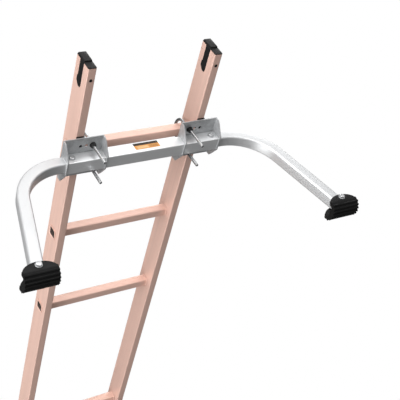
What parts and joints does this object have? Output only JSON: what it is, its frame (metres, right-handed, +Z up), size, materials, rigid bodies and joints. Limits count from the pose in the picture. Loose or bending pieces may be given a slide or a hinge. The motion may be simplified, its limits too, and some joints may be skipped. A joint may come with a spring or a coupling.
{
  "type": "extension ladder",
  "caption": "Two-section box-rail extension ladder with a square-tube wall stand-off clamped round the top rung, bent arms and swivelling ribbed rubber wall pads.",
  "frame": {"origin": "floor level, midway between the two shoes, on the base rails' centre plane", "axes": "+Z up along the rails, +X to the right seen from the wall, -Y towards the wall"},
  "size_m": [0.9256, 0.4538, 3.9263],
  "materials": {
    "rail_rose": "satin rose-tinted aluminium, fine lengthwise extrusion lines",
    "rung_rose": "satin rose-tinted aluminium, ribbed tread",
    "cap_black": "moulded black plastic, fine grain",
    "rivet_steel": "zinc-plated",
    "guide_steel": "zinc-plated pressed steel",
    "fastener_zinc": "bright zinc-plated",
    "u_bolt_zinc": "bright zinc-plated rod",
    "spring_steel": "bright spring wire",
    "pawl_cast": "die-cast, satin",
    "sole_rubber": "moulded tread rubber",
    "shoe_aluminium": "mill-finish extrusion",
    "bracket_zinc": "folded plate, satin grey",
    "pad_rubber": "black moulded rubber, semi-matte",
    "bar_aluminium": "mill-finish square tube",
    "arm_aluminium": "polished bent square tube"
  },
  "bodies": {
    "base_section": {"base_rail_left": "rail_rose", "base_rail_right": "rail_rose", "base_rung_1": "rung_rose", "base_rung_2": "rung_rose", "base_rung_3": "rung_rose", "base_rung_4": "rung_rose", "base_rung_5": "rung_rose", "base_rung_6": "rung_rose", "base_rung_7": "rung_rose", "base_cap_left": "cap_black", "base_cap_right": "cap_black", "base_guide_left": "guide_steel", "base_guide_right": "guide_steel", "base_guide_rivets": "rivet_steel", "shoe_bolts": "fastener_zinc", "shoe_nuts": "fastener_zinc"},
    "fly_section": {"fly_rail_left": "rail_rose", "fly_rail_right": "rail_rose", "fly_rung_1": "rung_rose", "fly_rung_2": "rung_rose", "fly_rung_3": "rung_rose", "fly_rung_4": "rung_rose", "fly_rung_5": "rung_rose", "fly_rung_6": "rung_rose", "fly_cap_left": "cap_black", "fly_cap_right": "cap_black", "fly_cap_rivets": "cap_black", "fly_guide_left": "guide_steel", "fly_guide_right": "guide_steel", "fly_guide_rivets": "rivet_steel", "fly_foot_plugs": "cap_black", "lock_bracket_left": "guide_steel", "lock_bracket_right": "guide_steel", "lock_pins": "fastener_zinc", "lock_spring_left": "spring_steel", "lock_spring_right": "spring_steel", "standoff_bar": "bar_aluminium", "bar_bracket_left": "bracket_zinc", "bar_bracket_right": "bracket_zinc", "bracket_rubber_left": "pad_rubber", "bracket_rubber_right": "pad_rubber", "u_bolt_left": "u_bolt_zinc", "u_bolt_right": "u_bolt_zinc", "u_bolt_nuts": "fastener_zinc", "arm_left": "arm_aluminium", "arm_right": "arm_aluminium", "arm_bolts": "fastener_zinc", "pad_bolts": "fastener_zinc"},
    "lock_left": {"lock_pawl_left": "pawl_cast"},
    "shoe_left": {"shoe_left": "shoe_aluminium", "shoe_sole_left": "sole_rubber", "sole_rivets_left": "rivet_steel"},
    "pad_left": {"wall_pad_left": "pad_rubber"},
    "lock_right": {"lock_pawl_right": "pawl_cast"},
    "shoe_right": {"shoe_right": "shoe_aluminium", "shoe_sole_right": "sole_rubber", "sole_rivets_right": "rivet_steel"},
    "pad_right": {"wall_pad_right": "pad_rubber"}
  },
  "joints": [
    {"name": "fly_slide", "type": "slide", "parent": "base_section", "child": "fly_section", "axis": [0, 0, 1], "range_m": [-0.9144, 0]},
    {"name": "lock_left_swing", "type": "hinge", "parent": "fly_section", "child": "lock_left", "pos_m": [-0.15, 0.0531, 1.604], "axis": [1, 0, 0], "range_deg": [0, 40], "stiffness_Nm_per_rad": 0.4, "springref_deg": -34.38, "deforming": ["lock_spring_left"]},
    {"name": "lock_right_swing", "type": "hinge", "parent": "fly_section", "child": "lock_right", "pos_m": [0.15, 0.0531, 1.604], "axis": [1, 0, 0], "range_deg": [0, 40], "stiffness_Nm_per_rad": 0.4, "springref_deg": -34.38, "deforming": ["lock_spring_right"]},
    {"name": "shoe_left_pivot", "type": "hinge", "parent": "base_section", "child": "shoe_left", "pos_m": [-0.1761, 0, 0.066], "axis": [1, 0, 0], "range_deg": [-30, 90]},
    {"name": "shoe_right_pivot", "type": "hinge", "parent": "base_section", "child": "shoe_right", "pos_m": [0.1761, 0, 0.066], "axis": [1, 0, 0], "range_deg": [-30, 90]},
    {"name": "pad_left_swivel", "type": "hinge", "parent": "fly_section", "child": "pad_left", "pos_m": [-0.42179, -0.31147, 3.6546], "axis": [0, 0, 1], "range_deg": [-25, 25]},
    {"name": "pad_right_swivel", "type": "hinge", "parent": "fly_section", "child": "pad_right", "pos_m": [0.42179, -0.31147, 3.6546], "axis": [0, 0, 1], "range_deg": [-25, 25]}
  ]
}
